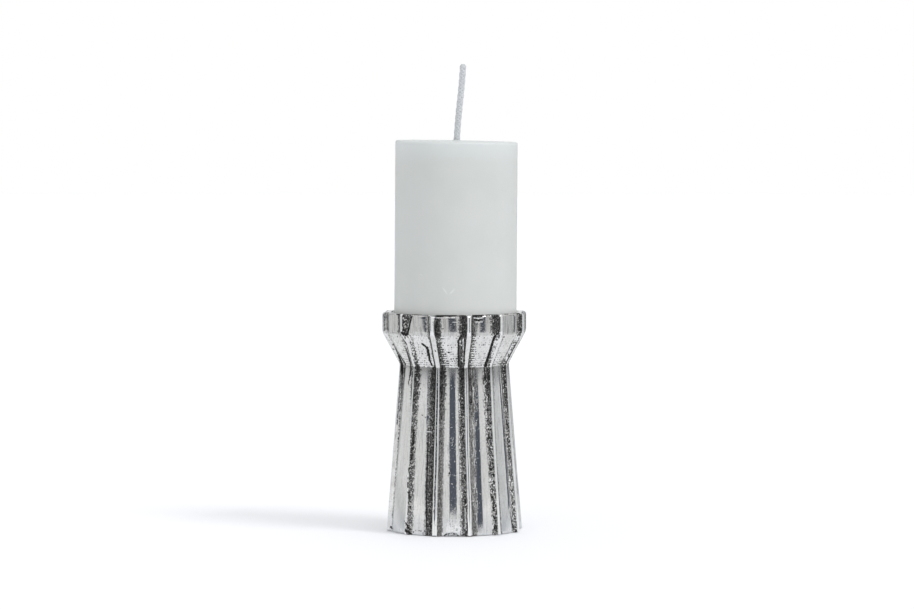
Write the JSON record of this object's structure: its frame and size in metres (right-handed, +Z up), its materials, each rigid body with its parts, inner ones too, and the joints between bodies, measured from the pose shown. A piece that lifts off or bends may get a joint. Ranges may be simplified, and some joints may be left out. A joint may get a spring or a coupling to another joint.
{
  "type": "candle stand",
  "caption": "Hollow cast metal candle stand with a tapering fluted column and a flared cup that holds a round pillar candle, which lifts straight out.",
  "frame": {"origin": "on the table, under the stand's axis", "axes": "+Z up along the stand's axis, -Y to the front, +X to the right seen from the front"},
  "size_m": [0.071, 0.071, 0.2298],
  "materials": {
    "cast_aluminium": "polished ribs and flute floors, dark rough flute walls",
    "dark_felt": "matt pressed felt",
    "candle_wax": "smooth satin wax",
    "waxed_cotton": "braided cotton stiff with wax",
    "tinned_steel": "thin tinned sheet"
  },
  "bodies": {
    "stand": {"stand_casting": "cast_aluminium", "felt_foot_ring": "dark_felt"},
    "candle": {"candle_wax": "candle_wax", "wick": "waxed_cotton", "wick_sustainer": "tinned_steel"}
  },
  "joints": [
    {"name": "candle_lift", "type": "slide", "parent": "stand", "child": "candle", "axis": [0, 0, 1], "range_m": [0, 0.03]}
  ]
}
